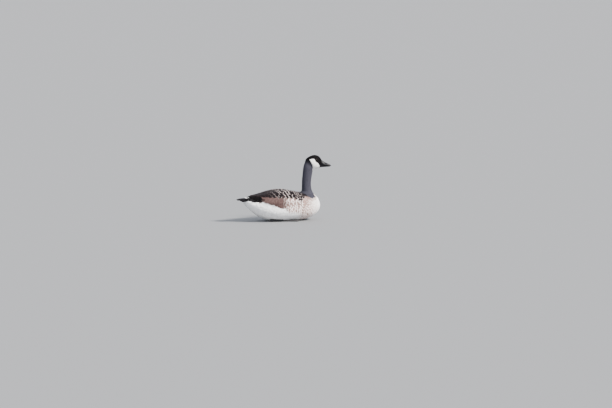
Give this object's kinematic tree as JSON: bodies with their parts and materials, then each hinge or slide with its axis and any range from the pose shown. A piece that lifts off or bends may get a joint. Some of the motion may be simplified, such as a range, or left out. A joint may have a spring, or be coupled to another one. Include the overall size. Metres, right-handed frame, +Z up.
{
  "type": "canada goose",
  "caption": "Life-size still model of a Canada goose afloat with its neck up, resting on its belly with its feet tucked under.",
  "frame": {"origin": "on the floor under the middle of the bird's whole length, from the tail's tip to the bill's", "axes": "+X towards the bill, +Y towards the bird's left wing, +Z up"},
  "size_m": [0.5486, 0.214, 0.3636],
  "materials": {
    "black_plumage": "velvety black feathers with a faint cool sheen",
    "body_plumage": "soft grey-brown feathers with pale tips, white towards the stern",
    "wing_plumage": "dark brown vanes with pale buff edges",
    "bill_horn": "satin black horn with fine pores",
    "claw_horn": "satin black horn",
    "leg_skin": "scaly black leg skin",
    "eye": "wet dark brown eye"
  },
  "bodies": {
    "root": {"head": "black_plumage", "neck": "black_plumage", "trunk": "body_plumage", "wing_left": "wing_plumage", "wing_right": "wing_plumage", "tail": "black_plumage", "bill_upper": "bill_horn", "bill_lower": "bill_horn", "eye_left": "eye", "eye_right": "eye", "leg_left": "leg_skin", "leg_right": "leg_skin", "foot_left": "leg_skin", "foot_right": "leg_skin", "claw_left_1": "claw_horn", "claw_left_2": "claw_horn", "claw_left_3": "claw_horn", "claw_left_4": "claw_horn", "claw_right_1": "claw_horn", "claw_right_2": "claw_horn", "claw_right_3": "claw_horn", "claw_right_4": "claw_horn"}
  },
  "joints": []
}
